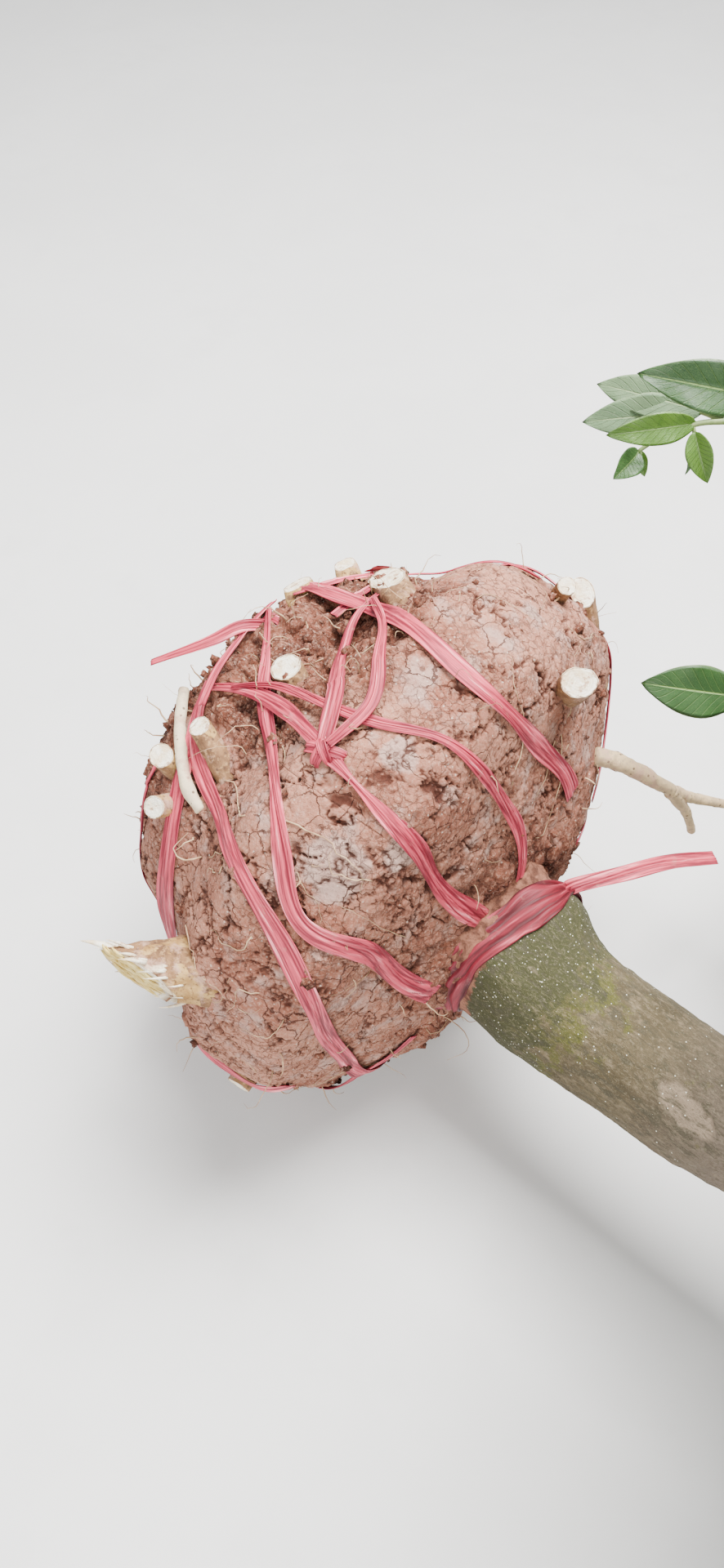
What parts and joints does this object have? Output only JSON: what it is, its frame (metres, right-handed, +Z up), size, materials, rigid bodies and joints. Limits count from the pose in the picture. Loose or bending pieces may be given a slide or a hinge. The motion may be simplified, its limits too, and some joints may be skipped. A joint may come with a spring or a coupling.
{
  "type": "citrus sapling with bound root ball",
  "caption": "Dug-up young citrus tree lying on its side: clay root ball bound in plastic ribbon, cut roots, smooth leaning trunk, spreading boughs and a leafy crown.",
  "frame": {"origin": "on the flattened patch on the underside of the root ball, where it rests on the ground", "axes": "+Z up from the ground, +X along the level trunk from the ball towards the tip of the crown, +Y to the side that is away from the picture's camera"},
  "size_m": [2.4388, 1.492, 1.0828],
  "materials": {
    "soil": "dry clay soil, dusty on the smooth cut side and darker where broken",
    "trunk_bark": "smooth grey-olive bark with moss and pale lichen specks",
    "bough_bark": "smooth green-grey young bark",
    "root_wood": "tan root bark with cream cut faces",
    "ribbon": "pleated rose-red plastic ribbon with a soft sheen",
    "leaves": "dark glossy citrus leaves with pale veins"
  },
  "bodies": {
    "root": {"bough_leader": "bough_bark", "bough_left_low": "bough_bark", "bough_left_middle": "bough_bark", "bough_left_top": "bough_bark", "bough_right_low": "bough_bark", "bough_right_middle": "bough_bark", "bough_up_low": "bough_bark", "bough_up_middle": "bough_bark", "bough_up_top": "bough_bark", "foliage_left_low": "leaves", "foliage_left_middle": "leaves", "foliage_left_top": "leaves", "foliage_right_low": "leaves", "foliage_right_middle": "leaves", "foliage_tip": "leaves", "foliage_up_low": "leaves", "foliage_up_middle": "leaves", "foliage_up_top": "leaves", "knot_bottom": "ribbon", "knot_crown": "ribbon", "ribbon_crest": "ribbon", "ribbon_crossing": "ribbon", "ribbon_crown": "ribbon", "ribbon_far": "ribbon", "ribbon_gather": "ribbon", "ribbon_lash_long": "ribbon", "ribbon_lash_short": "ribbon", "ribbon_low_far": "ribbon", "ribbon_low_near": "ribbon", "ribbon_near_inner": "ribbon", "ribbon_near_outer": "ribbon", "ribbon_shoulder": "ribbon", "ribbon_tail_bottom": "ribbon", "ribbon_tail_trunk": "ribbon", "ribbon_top_inner": "ribbon", "ribbon_top_outer": "ribbon", "ribbon_trunk_wrap": "ribbon", "root_back_far": "root_wood", "root_back_low": "root_wood", "root_ball": "soil", "root_bottom": "root_wood", "root_crown_side": "root_wood", "root_far_long": "root_wood", "root_far_short": "root_wood", "root_far_small": "root_wood", "root_far_stout": "root_wood", "root_forked": "root_wood", "root_great": "root_wood", "root_low_near": "root_wood", "root_near_pair_lower": "root_wood", "root_near_pair_upper": "root_wood", "root_near_upper": "root_wood", "root_shoulder": "root_wood", "root_split_narrow": "root_wood", "root_split_wide": "root_wood", "trunk": "trunk_bark"}
  },
  "joints": []
}
